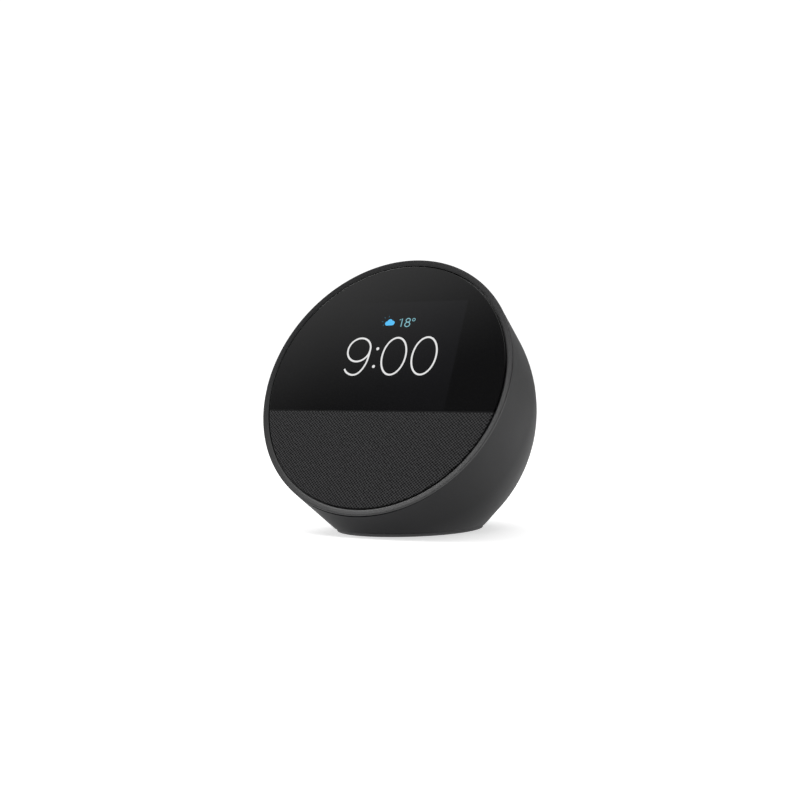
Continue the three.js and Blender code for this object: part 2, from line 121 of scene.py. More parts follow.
# Paper pulp: dark grey, with fibres about 1.2 mm long.
pulp, tree = new_material("pressed_paper_pulp")
where = add(tree, "TexCoord").outputs["Object"]
fibres = add(tree, "TexNoise", {
    "Vector": where, "Scale": 1 / (1.2 * MM), "Detail": 6.0, "Distortion": 2.0})
tone = add(tree, "MixRGB", {
    "Fac": fibres.outputs["Fac"], "Color1": linear("#2c2c2e"), "Color2": linear("#4a4a4c")})
lumps = add(tree, "Bump", {"Height": fibres.outputs["Fac"], "Distance": 0.08 * MM, "Strength": 0.6})
shader = add(tree, "BsdfPrincipled", {
    "Base Color": tone.outputs[0], "Normal": lumps.outputs[0], "Roughness": 0.9})
add(tree, "OutputMaterial", {"Surface": shader.outputs[0]})
paint(pulp, "speaker_cone", "speaker_dust_cap", "speaker_spider")

# Sintered ferrite: nearly black, ground flat, with pits about 0.5 mm across.
ferrite, tree = new_material("sintered_ferrite")
where = add(tree, "TexCoord").outputs["Object"]
pits = add(tree, "TexNoise", {"Vector": where, "Scale": 1 / (0.5 * MM), "Detail": 4.0})
tone = add(tree, "MixRGB", {
    "Fac": pits.outputs["Fac"], "Color1": linear("#26272a"), "Color2": linear("#3f4145")})
shader = add(tree, "BsdfPrincipled", {
    "Base Color": tone.outputs[0], "Roughness": 0.62, "Specular IOR Level": 0.6})
add(tree, "OutputMaterial", {"Surface": shader.outputs[0]})
paint(ferrite, "speaker_magnet")

# Enamelled copper wire: turns 0.16 mm apart, drawn at 0.5 mm so that they show.
winding, tree = new_material("enamelled_copper_winding")
where = add(tree, "TexCoord").outputs["Object"]
turns = add(tree, "TexWave", {
    "Vector": where, "Scale": math.pi / (10 * 0.5 * MM), "Distortion": 0.3}, bands_direction="Y")
tone = add(tree, "MixRGB", {
    "Fac": turns.outputs["Fac"], "Color1": linear("#7c4521"), "Color2": linear("#c9834c")})
shader = add(tree, "BsdfPrincipled", {
    "Base Color": tone.outputs[0], "Roughness": 0.35, "Metallic": 1.0})
add(tree, "OutputMaterial", {"Surface": shader.outputs[0]})
paint(winding, "speaker_voice_coil")

# ---- Boards, chips and flexible strips ------------------------------------------------
# Glass-epoxy boards under a green solder mask, with black moulded chips and amber polyimide
# strips between them. They are screwed to posts on the front frame or staked to the case.

# Solder mask over copper: green, with tracks about 1.4 mm apart just visible beneath it.
solder_mask, tree = new_material("green_solder_mask")
where = add(tree, "TexCoord").outputs["Object"]
tracks = add(tree, "TexBrick", {
    "Vector": where, "Scale": 1 / (7 * MM), "Mortar Size": 0.03,
    "Color1": linear("#1c4b35"), "Color2": linear("#21553c"), "Mortar": linear("#2f6f4e")})
raised = add(tree, "Bump", {"Height": tracks.outputs["Fac"], "Distance": 0.03 * MM, "Strength": 0.5})
shader = add(tree, "BsdfPrincipled", {
    "Base Color": tracks.outputs["Color"], "Normal": raised.outputs[0], "Roughness": 0.38})
add(tree, "OutputMaterial", {"Surface": shader.outputs[0]})
paint(solder_mask, "main_board", "button_board", "jack_board")

# Polyimide film: clear amber over copper lines 1 mm apart.
polyimide, tree = new_material("amber_polyimide_film")
where = add(tree, "TexCoord").outputs["Object"]
lines = add(tree, "TexWave", {"Vector": where, "Scale": math.pi / (10 * MM)}, bands_direction="X")
tone = add(tree, "MixRGB", {
    "Fac": lines.outputs["Fac"], "Color1": linear("#8a5419"), "Color2": linear("#c48a35")})
shader = add(tree, "BsdfPrincipled", {
    "Base Color": tone.outputs[0], "Roughness": 0.3, "IOR": 1.7})
add(tree, "OutputMaterial", {"Surface": shader.outputs[0]})
paint(polyimide, "display_flex", "button_flex", "wifi_antenna")

# ---- Cables ---------------------------------------------------------------------------
# Short leads inside the case for the driver, the antenna and the power, each soldered or
# plugged at both ends. Their jackets are extruded vinyl.

# Vinyl jacket: near black, faintly mottled over about 3 mm.
vinyl, tree = new_material("extruded_vinyl_jacket")
where = add(tree, "TexCoord").outputs["Object"]
mottle = add(tree, "TexNoise", {"Vector": where, "Scale": 1 / (3 * MM), "Detail": 3.0})
tone = add(tree, "MixRGB", {
    "Fac": mottle.outputs["Fac"], "Color1": linear("#131314"), "Color2": linear("#242425")})
shader = add(tree, "BsdfPrincipled", {"Base Color": tone.outputs[0], "Roughness": 0.5, "IOR": 1.53})
add(tree, "OutputMaterial", {"Surface": shader.outputs[0]})
paint(vinyl, "speaker_cable", "antenna_cable", "power_cable")

# ---- Black internal mouldings ---------------------------------------------------------
# The front frame that carries the display and the driver, the grille's perforated carrier,
# the sealed chamber, the base plate, the switches and the power socket, moulded in black ABS.

# Moulded black ABS: satin, with a spark-eroded grain 0.3 mm across drawn at 0.6 mm.
black_abs, tree = new_material("moulded_black_abs")
where = add(tree, "TexCoord").outputs["Object"]
grain = add(tree, "TexNoise", {"Vector": where, "Scale": 1 / (0.6 * MM), "Detail": 3.0})
tone = add(tree, "MixRGB", {
    "Fac": grain.outputs["Fac"], "Color1": linear("#141415"), "Color2": linear("#212122")})
bumps = add(tree, "Bump", {"Height": grain.outputs["Fac"], "Distance": 0.03 * MM, "Strength": 0.4})
shader = add(tree, "BsdfPrincipled", {
    "Base Color": tone.outputs[0], "Normal": bumps.outputs[0], "Roughness": 0.5, "IOR": 1.52})
add(tree, "OutputMaterial", {"Surface": shader.outputs[0]})
paint(black_abs, "front_frame", "grille_frame", "speaker_enclosure", "base_plate", "dc_jack",
      "system_chip", "volume_down_switch", "mic_mute_switch", "volume_up_switch")

# ---- Display layers -------------------------------------------------------------------
# A liquid-crystal panel under a touch layer, bonded to the back of the cover glass. They
# look black except where the panel is lit.

# Polariser film: black with a faint blue cast and a fine mottle of 5 mm.
polariser, tree = new_material("display_polariser_film")
where = add(tree, "TexCoord").outputs["Object"]
cast = add(tree, "TexNoise", {"Vector": where, "Scale": 1 / (5 * MM)})
tone = add(tree, "MixRGB", {
    "Fac": cast.outputs["Fac"], "Color1": linear("#08080a"), "Color2": linear("#101116")})
shader = add(tree, "BsdfPrincipled", {"Base Color": tone.outputs[0], "Roughness": 0.2})
add(tree, "OutputMaterial", {"Surface": shader.outputs[0]})
paint(polariser, "lcd_panel", "touch_sensor")

# ---- Rubber seals and pads ------------------------------------------------------------
# The driver's surround and gasket, the pads under the keys, the seals round the
# microphones and the thermal pad, all moulded in black silicone.


def moulded_silicone(name, dark, light, roughness):
    """Silicone: matte, with a 0.8 mm mottle from its talc dusting."""
    material, tree = new_material(name)
    where = add(tree, "TexCoord").outputs["Object"]
    dusting = add(tree, "TexNoise", {"Vector": where, "Scale": 1 / (0.8 * MM), "Detail": 4.0})
    tone = add(tree, "MixRGB", {
        "Fac": dusting.outputs["Fac"], "Color1": linear(dark), "Color2": linear(light)})
    bumps = add(tree, "Bump", {
        "Height": dusting.outputs["Fac"], "Distance": 0.03 * MM, "Strength": 0.5})
    shader = add(tree, "BsdfPrincipled", {
        "Base Color": tone.outputs[0], "Normal": bumps.outputs[0], "Roughness": roughness, "IOR": 1.41})
    add(tree, "OutputMaterial", {"Surface": shader.outputs[0]})
    return material


# Nearly black, for the seals that nobody sees.
silicone = moulded_silicone("moulded_black_silicone", "#181819", "#2a2a2b", 0.82)
paint(silicone, "speaker_gasket", "speaker_surround", "thermal_pad", "volume_down_plunger",
      "mic_mute_plunger", "volume_up_plunger", "microphone_gasket_left", "microphone_gasket_right")

# ---- Foot -----------------------------------------------------------------------------
# A low oval pad on which the speaker stands, moulded in grey silicone. A step round its top
# fits inside the case's opening, so only its rim shows, as a thin band under the case.


def face_point(x, up, out):
    """A point given across the face, up it and out of it, in the row frame. All are in metres."""
    return FACE_CENTRE + Vector((x, 0, 0)) + up * FACE_UP + out * FACE_OUT


def mesh_object(name, vertices, faces, material, body="case"):
    """A smooth-shaded mesh that rides on a body. Edges over 35 degrees are kept sharp."""
    mesh = bpy.data.meshes.new(name)
    mesh.from_pydata([tuple(v) for v in vertices], [], faces)
    mesh.update()
    built = bpy.data.objects.new(name, mesh)
    bpy.context.scene.collection.objects.link(built)
    mesh.materials.append(material)
    soften(mesh)
    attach(built, body)
    return built


def soften(mesh, sharp_degrees=35):
    """Makes all normals point out, and shades smooth except over sharp edges."""
    work = bmesh.new()
    work.from_mesh(mesh)
    bmesh.ops.recalc_face_normals(work, faces=work.faces)
    for polygon in work.faces:
        polygon.smooth = True
    limit = math.radians(sharp_degrees)
    for edge in work.edges:
        edge.smooth = not (len(edge.link_faces) == 2 and edge.calc_face_angle(0) > limit)
    work.to_mesh(mesh)
    work.free()


def bridge_rows(rows, capped=False):
    """Vertices and faces of a skin through closed rows that have the same number of points."""
    count = len(rows[0])
    vertices = [point for row in rows for point in row]
    faces = []
    for i in range(len(rows) - 1):
        for j in range(count):
            k = (j + 1) % count
            faces.append((i * count + j, i * count + k, (i + 1) * count + k, (i + 1) * count + j))
    if capped:
        faces += [tuple(range(count)), tuple(range(len(vertices) - count, len(vertices)))]
    return vertices, faces


def round_turn(count):
    """Angles at even steps once round a circle."""
    return [2 * math.pi * i / count for i in range(count)]


FACE_TILT = math.radians(25)
FACE_UP = Vector((0, math.sin(FACE_TILT), math.cos(FACE_TILT)))
FACE_OUT = Vector((0, -math.cos(FACE_TILT), math.sin(FACE_TILT)))
RIM_RADIUS = 56.5 * MM
RIM_FRONT = -51.5 * MM  # how far forward the lowest point of the leaning rim reaches
FACE_HEIGHT = 60.25 * MM
FACE_CENTRE = Vector((0, RIM_FRONT + RIM_RADIUS * math.sin(FACE_TILT), FACE_HEIGHT))
BASE_CENTRE_Y = -4.6 * MM
BASE_RADII = (27.7 * MM, 37.4 * MM)


def base_oval(inset, height, count=192):
    """Points round the oval on which the speaker stands."""
    return [Vector(((BASE_RADII[0] - inset) * math.sin(t),
                    BASE_CENTRE_Y - (BASE_RADII[1] - inset) * math.cos(t), height))
            for t in round_turn(count)]


grey_silicone = moulded_silicone("moulded_grey_silicone", "#5a5a5b", "#666667", 0.75)

# (inset from the oval, height) in millimetres, from the underside up.
FOOT_PROFILE = [
    (3.0, 0.0), (0.46, 0.0), (0.26, 0.05), (0.12, 0.17), (0.05, 0.4), (0.05, 1.15), (0.1, 1.26),
    (0.22, 1.3), (3.0, 1.3), (3.0, 2.3),
]
foot_rows = [base_oval(inset * MM, height * MM) for inset, height in FOOT_PROFILE]
vertices, faces = bridge_rows(foot_rows, capped=True)
foot = mesh_object("rubber_foot_pad", vertices, faces, grey_silicone)
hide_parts("rubber_foot")

# ---- Rear housing ---------------------------------------------------------------------
# The case is one hollow moulding in charcoal ABS with a fine spark-eroded texture. Its skin
# runs from the round rim of the face, over a dome, to an oval at the table. The base plate
# closes it below, and four screws from the front hold the front frame in it.

DOME_CENTRE = Vector((0, -7.5, 48.95)) * MM
DOME_RADII = Vector((51.9, 59.0, 57.3)) * MM
BASE_LEVEL = 0.45 * MM  # the height at which the skin has the base's outline
SHELL_BOTTOM = 1.5 * MM
RIM_BACK = -0.94 * MM  # the case's front edge, just behind the bezel
WALL = 2.2 * MM
RIM_POINTS, BASE_POINTS, DOME_ROWS, DOME_COLUMNS = 720, 360, 90, 180
BEHIND_FACE, ABOVE_TABLE = -0.2 * MM, 1.2 * MM  # the dome counts only past these


def outer_skin():
    """A ray-testable copy of the case's outer surface: the convex skin round rim, dome and base."""
    work = bmesh.new()
    for turn in round_turn(RIM_POINTS):
        work.verts.new(face_point(RIM_RADIUS * math.cos(turn), RIM_RADIUS * math.sin(turn), 0))
    for point in base_oval(0, BASE_LEVEL, BASE_POINTS):
        work.verts.new(point)
    for row in range(1, DOME_ROWS):
        polar = math.pi * row / DOME_ROWS
        for turn in round_turn(DOME_COLUMNS):
            on_ball = Vector((math.sin(polar) * math.cos(turn), math.cos(polar),
                              math.sin(polar) * math.sin(turn)))
            point = DOME_CENTRE + on_ball * DOME_RADII
            if (point - FACE_CENTRE).dot(FACE_OUT) < BEHIND_FACE and point.z > ABOVE_TABLE:
                work.verts.new(point)
    hull = bmesh.ops.convex_hull(work, input=work.verts)
    loose = hull["geom_interior"] + hull["geom_unused"]
    spare = {v for v in loose if isinstance(v, bmesh.types.BMVert)}
    bmesh.ops.delete(work, geom=list(spare), context="VERTS")
    surface = BVHTree.FromBMesh(work)
    work.free()
    return surface


skin = outer_skin()
HEART = Vector((0, -4, 47)) * MM
CLEAR_OF_CASE = 200 * MM  # a ray that starts this far out starts outside the case


def on_skin(towards):
    """Where a ray from the middle of the case meets the outer surface."""
    return skin.ray_cast(HEART, towards)[0]


def skin_at_height(point, height):
    """The surface point at a height, in the upright plane through the heart and the point."""
    flat = Vector((point.x - HEART.x, point.y - HEART.y, 0)).normalized()
    outside = Vector((HEART.x, HEART.y, height)) + flat * CLEAR_OF_CASE
    return skin.ray_cast(outside, -flat)[0]


SHELL_COLUMNS = 288
SHELL_ROWS = 110
rim_axis = face_point(0, 0, RIM_BACK)
rim_loop = []
for turn in round_turn(SHELL_COLUMNS):
    rim = face_point(RIM_RADIUS * math.sin(turn), -RIM_RADIUS * math.cos(turn), RIM_BACK)
    outward = (rim - rim_axis).normalized()
    rim_loop.append(skin.ray_cast(rim_axis + outward * CLEAR_OF_CASE, -outward)[0])
base_loop = [skin_at_height(point, SHELL_BOTTOM) for point in base_oval(0, 0, SHELL_COLUMNS)]
shell_rows = [rim_loop]
for row in range(1, SHELL_ROWS):
    share = row / SHELL_ROWS
    between = []
    for rim, base in zip(rim_loop, base_loop):
        # The rays swing from the rim to the base the short way round, which sweeps the dome.
        start, end = (rim - HEART).normalized(), (base - HEART).normalized()
        between.append(on_skin(start.slerp(end, share)))
    shell_rows.append(between)
shell_rows.append(base_loop)
vertices, faces = bridge_rows(shell_rows)

# Moulded charcoal ABS: matte, from a fine spark-eroded mould. The real grain is 0.15 mm, and
# is drawn at 0.5 mm so that it shows. Broad, faint patches come from handling.
charcoal, tree = new_material("moulded_charcoal_abs")
where = add(tree, "TexCoord").outputs["Object"]
erosion = add(tree, "TexNoise", {
    "Vector": where, "Scale": 1 / (0.5 * MM), "Detail": 4.0, "Roughness": 0.7})
patches = add(tree, "TexNoise", {"Vector": where, "Scale": 1 / (30 * MM), "Detail": 2.0})
fleck = add(tree, "MixRGB", {
    "Fac": erosion.outputs["Fac"], "Color1": linear("#131314"), "Color2": linear("#18181a")})
tone = add(tree, "MixRGB", {
    "Fac": 0.08, "Color1": fleck.outputs[0], "Color2": patches.outputs["Fac"]}, blend_type="SOFT_LIGHT")
worn = add(tree, "MapRange", {"Value": patches.outputs["Fac"], "To Min": 0.5, "To Max": 0.6})
bumps = add(tree, "Bump", {"Height": erosion.outputs["Fac"], "Distance": 0.035 * MM, "Strength": 0.5})
shader = add(tree, "BsdfPrincipled", {
    "Base Color": tone.outputs[0], "Normal": bumps.outputs[0], "Roughness": worn.outputs[0],
    "IOR": 1.53, "Specular IOR Level": 0.2})
add(tree, "OutputMaterial", {"Surface": shader.outputs[0]})

housing = mesh_object("moulded_case", vertices, faces, charcoal)
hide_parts("rear_housing")


def bake(target, kind, **settings):
    """Applies one modifier to an object's mesh."""
    modifier = target.modifiers.new(kind.lower(), kind)
    for name, value in settings.items():
        setattr(modifier, name, value)
    evaluated = target.evaluated_get(bpy.context.evaluated_depsgraph_get())
    mesh = bpy.data.meshes.new_from_object(evaluated)
    target.modifiers.clear()
    target.data = mesh


bake(housing, "SOLIDIFY", thickness=WALL, offset=-1.0, use_even_offset=True)

# ---- Keys -----------------------------------------------------------------------------
# Three round keys lie flush in the top, behind the face: volume down, microphone off and
# volume up. Each is a charcoal ABS cap on a springy pad, with a raised mark to feel for.

KEY_LEAN = math.radians(30)
KEY_OUT = Vector((0, math.sin(KEY_LEAN), math.cos(KEY_LEAN)))
KEY_BACK = Vector((0, math.cos(KEY_LEAN), -math.sin(KEY_LEAN)))
stretched = Vector([r * r * n for r, n in zip(DOME_RADII, KEY_OUT)])
KEY_PLACE = DOME_CENTRE + stretched / (DOME_RADII * KEY_OUT).length
KEY_PITCH = 15 * MM
KEY_HOLE, MIC_HOLE = 5.3 * MM, 0.6 * MM  # radii
DRILL_REACH = (-9 * MM, 6 * MM)  # from inside the case to outside it, along the keys' axis
SURFACE_SEARCH = 30 * MM


def key_point(x, back, out):
    """A point given across the keys, backwards and outwards, in the row frame."""
    return KEY_PLACE + Vector((x, 0, 0)) + back * KEY_BACK + out * KEY_OUT


def on_keys_skin(x, back):
    """How far out of the keys' plane the case's surface lies."""
    start = key_point(x, back, SURFACE_SEARCH)
    return (skin.ray_cast(start, -KEY_OUT)[0] - KEY_PLACE).dot(KEY_OUT)


def rod(start, end, radius, sides=64):
    """Vertices and faces of a closed rod between two points."""
    along = (end - start).normalized()
    side = along.orthogonal().normalized()
    other = along.cross(side)
    ring = [side * math.cos(turn) + other * math.sin(turn) for turn in round_turn(sides)]
    return bridge_rows([[end_point + p * radius for p in ring] for end_point in (start, end)], capped=True)


JACK_Z = 15.7 * MM
JACK_HOLE = 4.9 * MM
JACK_DRILL = (30 * MM, 60 * MM)
drills = []
for pitches, radius, sides in ((-1, KEY_HOLE, 64), (0, KEY_HOLE, 64), (1, KEY_HOLE, 64),
                               (-0.5, MIC_HOLE, 24), (0.5, MIC_HOLE, 24)):
    inner, outer = [key_point(pitches * KEY_PITCH, 0, out) for out in DRILL_REACH]
    drills.append(rod(inner, outer, radius, sides))
inner, outer = [Vector((0, y, JACK_Z)) for y in JACK_DRILL]
drills.append(rod(inner, outer, JACK_HOLE))
drill_vertices, drill_faces = [], []
for vertices, faces in drills:
    shift = len(drill_vertices)
    drill_vertices += vertices
    drill_faces += [tuple(index + shift for index in polygon) for polygon in faces]
drill = mesh_object("drill", drill_vertices, drill_faces, charcoal)
bake(housing, "BOOLEAN", operation="DIFFERENCE", solver="EXACT", object=drill)
bpy.data.objects.remove(drill)
soften(housing.data)

# The cap as (radius, out from the case's surface) in millimetres. The last point is the end
# of the skirt, which is flat and counted from the keys' plane.
KEY_SIDES = 96
SKIRT_END = -8.0
KEY_PROFILE = [
    (0.3, 0.0), (1.0, 0.0), (2.0, 0.0), (3.0, 0.0), (4.0, 0.0), (4.6, 0.0), (4.82, -0.06),
    (4.95, -0.18), (5.0, -0.36), (5.0, SKIRT_END),
]
# Bars of each raised mark, as (width, length) in millimetres about the key's centre, with
# the levels of their foot and top. The middle key has a small raised ring in place of bars.
KEY_BARS = {
    "volume_down": [(3.2, 0.55)],
    "mic_mute": [],
    "volume_up": [(3.2, 0.55), (0.55, 3.2)],
}
BAR_LEVELS = (-0.4, 0.14)
RING_INNER, RING_OUTER, RING_LIFT = 1.0, 2.0, 0.12


def key_cap(name, centre_x):
    """A cap whose top follows the case's surface, with a rounded edge and a plain skirt."""
    rows = []
    for radius, out in KEY_PROFILE:
        ringed = name == "mic_mute" and RING_INNER <= radius <= RING_OUTER
        mark = RING_LIFT * MM if ringed else 0.0
        row = []
        for turn in round_turn(KEY_SIDES):
            x = centre_x + radius * MM * math.cos(turn)
            back = radius * MM * math.sin(turn)
            level = on_keys_skin(x, back) if out > SKIRT_END else 0.0
            row.append(key_point(x, back, level + out * MM + mark))
        rows.append(row)
    vertices, faces = bridge_rows(rows, capped=True)
    for width, length in KEY_BARS[name]:
        shift = len(vertices)
        for level in BAR_LEVELS:
            for dx, dy in ((-1, -1), (1, -1), (1, 1), (-1, 1)):
                x = centre_x + dx * width / 2 * MM
                y = dy * length / 2 * MM
                vertices.append(key_point(x, y, on_keys_skin(x, y) + level * MM))
        faces += [tuple(shift + k for k in quad) for quad in (
            (0, 1, 2, 3), (4, 5, 6, 7), (0, 1, 5, 4), (1, 2, 6, 5), (2, 3, 7, 6), (3, 0, 4, 7))]
    cap = mesh_object(f"{name}_cap", vertices, faces, charcoal, f"{name}_key")
    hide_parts(f"{name}_button")


for place, name in enumerate(("volume_down", "mic_mute", "volume_up")):
    key_cap(name, (place - 1) * KEY_PITCH)

# ---- Power socket ---------------------------------------------------------------------
# A round barrel socket at the back, near the table. Its black ABS nose comes through the
# case and is trimmed flush with it, round a bore for the plug with a steel pin in it.

# (radius, place along Y) in millimetres. A place of 0 or less is counted in from the case's
# surface, the others from the middle of the row.
SOCKET_SIDES = 72
SOCKET_PROFILE = [
    (4.3, 30.0), (4.6, 31.0), (4.6, -0.35), (4.55, -0.15), (4.4, -0.04), (4.2, 0.0),
    (3.4, 0.0), (3.2, -0.06), (3.1, -0.25), (3.1, 31.2), (3.0, 31.0), (0.9, 31.0),
]
PIN_SIDES = 32
PIN_PROFILE = [(0.98, 31.0), (0.98, 39.4), (0.92, 39.8), (0.75, 40.1), (0.4, 40.3), (0.05, 40.35)]

socket_rows = []
for radius, place in SOCKET_PROFILE:
    row = []
    for turn in round_turn(SOCKET_SIDES):
        x, z = radius * MM * math.cos(turn), JACK_Z + radius * MM * math.sin(turn)
        flush = skin.ray_cast(Vector((x, CLEAR_OF_CASE, z)), Vector((0, -1, 0)))[0].y
        row.append(Vector((x, place * MM + (flush if place <= 0 else 0), z)))
    socket_rows.append(row)
vertices, faces = bridge_rows(socket_rows)
nose = mesh_object("socket_nose", vertices, faces, black_abs)
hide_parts("dc_jack")

pin_rows = [[Vector((radius * MM * math.cos(t), y * MM, JACK_Z + radius * MM * math.sin(t)))
             for t in round_turn(PIN_SIDES)] for radius, y in PIN_PROFILE]
vertices, faces = bridge_rows(pin_rows)
pin = mesh_object("socket_pin", vertices, faces, zinc_plate)
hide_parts("jack_pin")

# ---- Bezel ----------------------------------------------------------------------------
# A narrow ring frames the face. It is moulded in charcoal ABS and clips over the front frame.
# Its front slopes in towards the glass, and a fine dark line shows where it meets the case.

FACE_SIDES = 288
# (radius, out) in millimetres about the face's axis: the sloping front, the step behind it,
# the collar that centres the ring in the case and the skirt that clips to the front frame.
BEZEL_PROFILE = [
    (54.0, -1.25), (54.0, -0.6), (54.04, -0.47), (54.14, -0.4), (54.8, -0.28), (55.6, -0.12),
    (56.1, -0.03), (56.3, -0.02), (56.4, -0.1), (56.44, -0.24), (56.44, -0.86), (56.4, -0.9),
    (54.7, -0.9), (54.7, -1.6), (53.2, -1.6), (53.2, -4.2), (51.9, -4.2),
    (51.9, -1.25), (54.0, -1.25),
]

# Moulded ABS from a polished mould: the same charcoal, slightly smoother than the case.
satin_abs, tree = new_material("moulded_satin_abs")
where = add(tree, "TexCoord").outputs["Object"]
erosion = add(tree, "TexNoise", {"Vector": where, "Scale": 1 / (0.5 * MM), "Detail": 3.0})
tone = add(tree, "MixRGB", {
    "Fac": erosion.outputs["Fac"], "Color1": linear("#1c1c1d"), "Color2": linear("#232324")})
bumps = add(tree, "Bump", {"Height": erosion.outputs["Fac"], "Distance": 0.02 * MM, "Strength": 0.4})
shader = add(tree, "BsdfPrincipled", {
    "Base Color": tone.outputs[0], "Normal": bumps.outputs[0], "Roughness": 0.42, "IOR": 1.53})
add(tree, "OutputMaterial", {"Surface": shader.outputs[0]})

bezel_rows = [[face_point(radius * MM * math.cos(t), radius * MM * math.sin(t), out * MM)
               for t in round_turn(FACE_SIDES)] for radius, out in BEZEL_PROFILE]
vertices, faces = bridge_rows(bezel_rows)
bezel = mesh_object("bezel_ring", vertices, faces, satin_abs)
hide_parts("front_bezel")

# ---- Cover glass ----------------------------------------------------------------------
# Chemically hardened glass, printed black on its back except over the display, with a
# ground edge. It is bonded to the front frame and lies level with the ring's outer edge.

SPLIT = -12.2  # millimetres up the face to the level line between glass and grille
GLASS_RADIUS = 53.35


def face_segment(line, above, inset, out, arc_points=160, line_points=60):
    """Points round the part of the face above or below a level line, all in millimetres."""
    reach, level = GLASS_RADIUS - inset, line + (inset if above else -inset)
    start = math.asin(level / reach)
    sweep = math.pi - 2 * start if above else math.pi + 2 * start
    first = start if above else math.pi - start
    points = []
    for i in range(arc_points + 1):
        turn = first + sweep * i / arc_points
        points.append((reach * math.cos(turn), reach * math.sin(turn)))
    (end_x, _), (start_x, _) = points[-1], points[0]
    for i in range(1, line_points):
        points.append((end_x + (start_x - end_x) * i / line_points, level))
    return [face_point(x * MM, up * MM, out * MM) for x, up in points]


# (inset from the glass's outline, out) in millimetres, from the back to the front.
GLASS_PROFILE = [(0.6, -0.95), (0.0, -0.85), (0.0, -0.13), (0.03, -0.08), (0.08, -0.05), (0.14, -0.05)]
rows = [face_segment(SPLIT, True, inset, out) for inset, out in GLASS_PROFILE]
vertices, faces = bridge_rows(rows, capped=True)

# Glass over black print: a deep black with a mirror gloss. The lit panel behind it leaks a
# faint grey over a window 61 mm wide, which fades out towards the grille and the left.
WINDOW_SIDE = 30.7 * MM
WINDOW_TOP, WINDOW_LOW = 37.0 * MM, -9.0 * MM  # up the face from its centre
WINDOW_EDGE = 0.5 * MM  # the width of the blur at the window's edge
black_glass, tree = new_material("hardened_glass_over_black_print")
where = add(tree, "TexCoord").outputs["Object"]
spread = add(tree, "SeparateXYZ", {"Vector": where})
side = add(tree, "Math", {0: spread.outputs["X"]}, operation="ABSOLUTE")
across = add(tree, "MapRange", {
    "Value": side.outputs[0], "From Min": WINDOW_SIDE - WINDOW_EDGE, "From Max": WINDOW_SIDE,
    "To Min": 1.0, "To Max": 0.0})
# A distance up the leaning face rises by that distance times the cosine of its lean.
top_z = FACE_CENTRE.z + WINDOW_TOP * math.cos(FACE_TILT)
low_z = FACE_CENTRE.z + WINDOW_LOW * math.cos(FACE_TILT)
under_top = add(tree, "MapRange", {
    "Value": spread.outputs["Z"], "From Min": top_z - WINDOW_EDGE, "From Max": top_z,
    "To Min": 1.0, "To Max": 0.0})
above_line = add(tree, "MapRange", {
    "Value": spread.outputs["Z"], "From Min": low_z - 12 * MM, "From Max": low_z + 14 * MM})
upright = add(tree, "Math", {0: under_top.outputs[0], 1: above_line.outputs[0]}, operation="MULTIPLY")
backlit = add(tree, "MapRange", {
    "Value": spread.outputs["X"], "From Min": -30 * MM, "From Max": 12 * MM})
sideways = add(tree, "Math", {0: across.outputs[0], 1: backlit.outputs[0]}, operation="MULTIPLY")
window = add(tree, "Math", {0: upright.outputs[0], 1: sideways.outputs[0]}, operation="MULTIPLY")
leak = add(tree, "MixRGB", {
    "Fac": window.outputs[0], "Color1": linear("#000000"), "Color2": linear("#0c0c0e")})
smear = add(tree, "TexNoise", {"Vector": where, "Scale": 1 / (25 * MM), "Detail": 3.0})
handled = add(tree, "MapRange", {"Value": smear.outputs["Fac"], "To Min": 0.03, "To Max": 0.07})
shader = add(tree, "BsdfPrincipled", {
    "Base Color": linear("#0b0b0c"), "Roughness": handled.outputs[0], "IOR": 1.5,
    "Emission Color": leak.outputs[0], "Emission Strength": 1.0})
add(tree, "OutputMaterial", {"Surface": shader.outputs[0]})

cover = mesh_object("cover_glass_sheet", vertices, faces, black_glass)
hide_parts("cover_glass")

# ---- Clock reading and weather --------------------------------------------------------
# What the panel shows: the hour in thin strokes, and a small cloud with a temperature above
# it. It is light, not a part, so each mark is a flat shape on the glass.

STROKE = 0.78  # millimetres wide
GRAPHICS_OUT = -0.03


def stroke(points, width, closed=False):
    """A flat ribbon along points on the face, in millimetres."""
    line = [Vector(p) for p in points]
    count = len(line)
    left, right = [], []
    for i, point in enumerate(line):
        before = line[i - 1] if closed or i else point
        after = line[(i + 1) % count] if closed or i < count - 1 else point
        along = (after - before).normalized()
        side = Vector((-along.y, along.x)) * width / 2
        left.append(point + side)
        right.append(point - side)
    vertices = left + right
    faces = [(i, (i + 1) % count, count + (i + 1) % count, count + i)
             for i in range(count if closed else count - 1)]
    return vertices, faces


def oval(centre, radii, count=64):
    """Points round an ellipse."""
    return [(centre[0] + radii[0] * math.cos(t), centre[1] + radii[1] * math.sin(t))
            for t in round_turn(count)]


def dot(centre, radius, count=32):
    """A filled disc on the face."""
    return [Vector(p) for p in oval(centre, (radius, radius), count)], [tuple(range(count))]


def graphic(name, shapes, material):
    """One piece made of flat shapes that lie on the glass."""
    vertices, faces = [], []
    for points, polygons in shapes:
        shift = len(vertices)
        vertices += [face_point(p[0] * MM, p[1] * MM, GRAPHICS_OUT * MM) for p in points]
        faces += [tuple(index + shift for index in polygon) for polygon in polygons]
    mesh = bpy.data.meshes.new(name)
    mesh.from_pydata([tuple(v) for v in vertices], [], faces)
    mesh.materials.append(material)
    built = bpy.data.objects.new(name, mesh)
    bpy.context.scene.collection.objects.link(built)
    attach(built, "case")


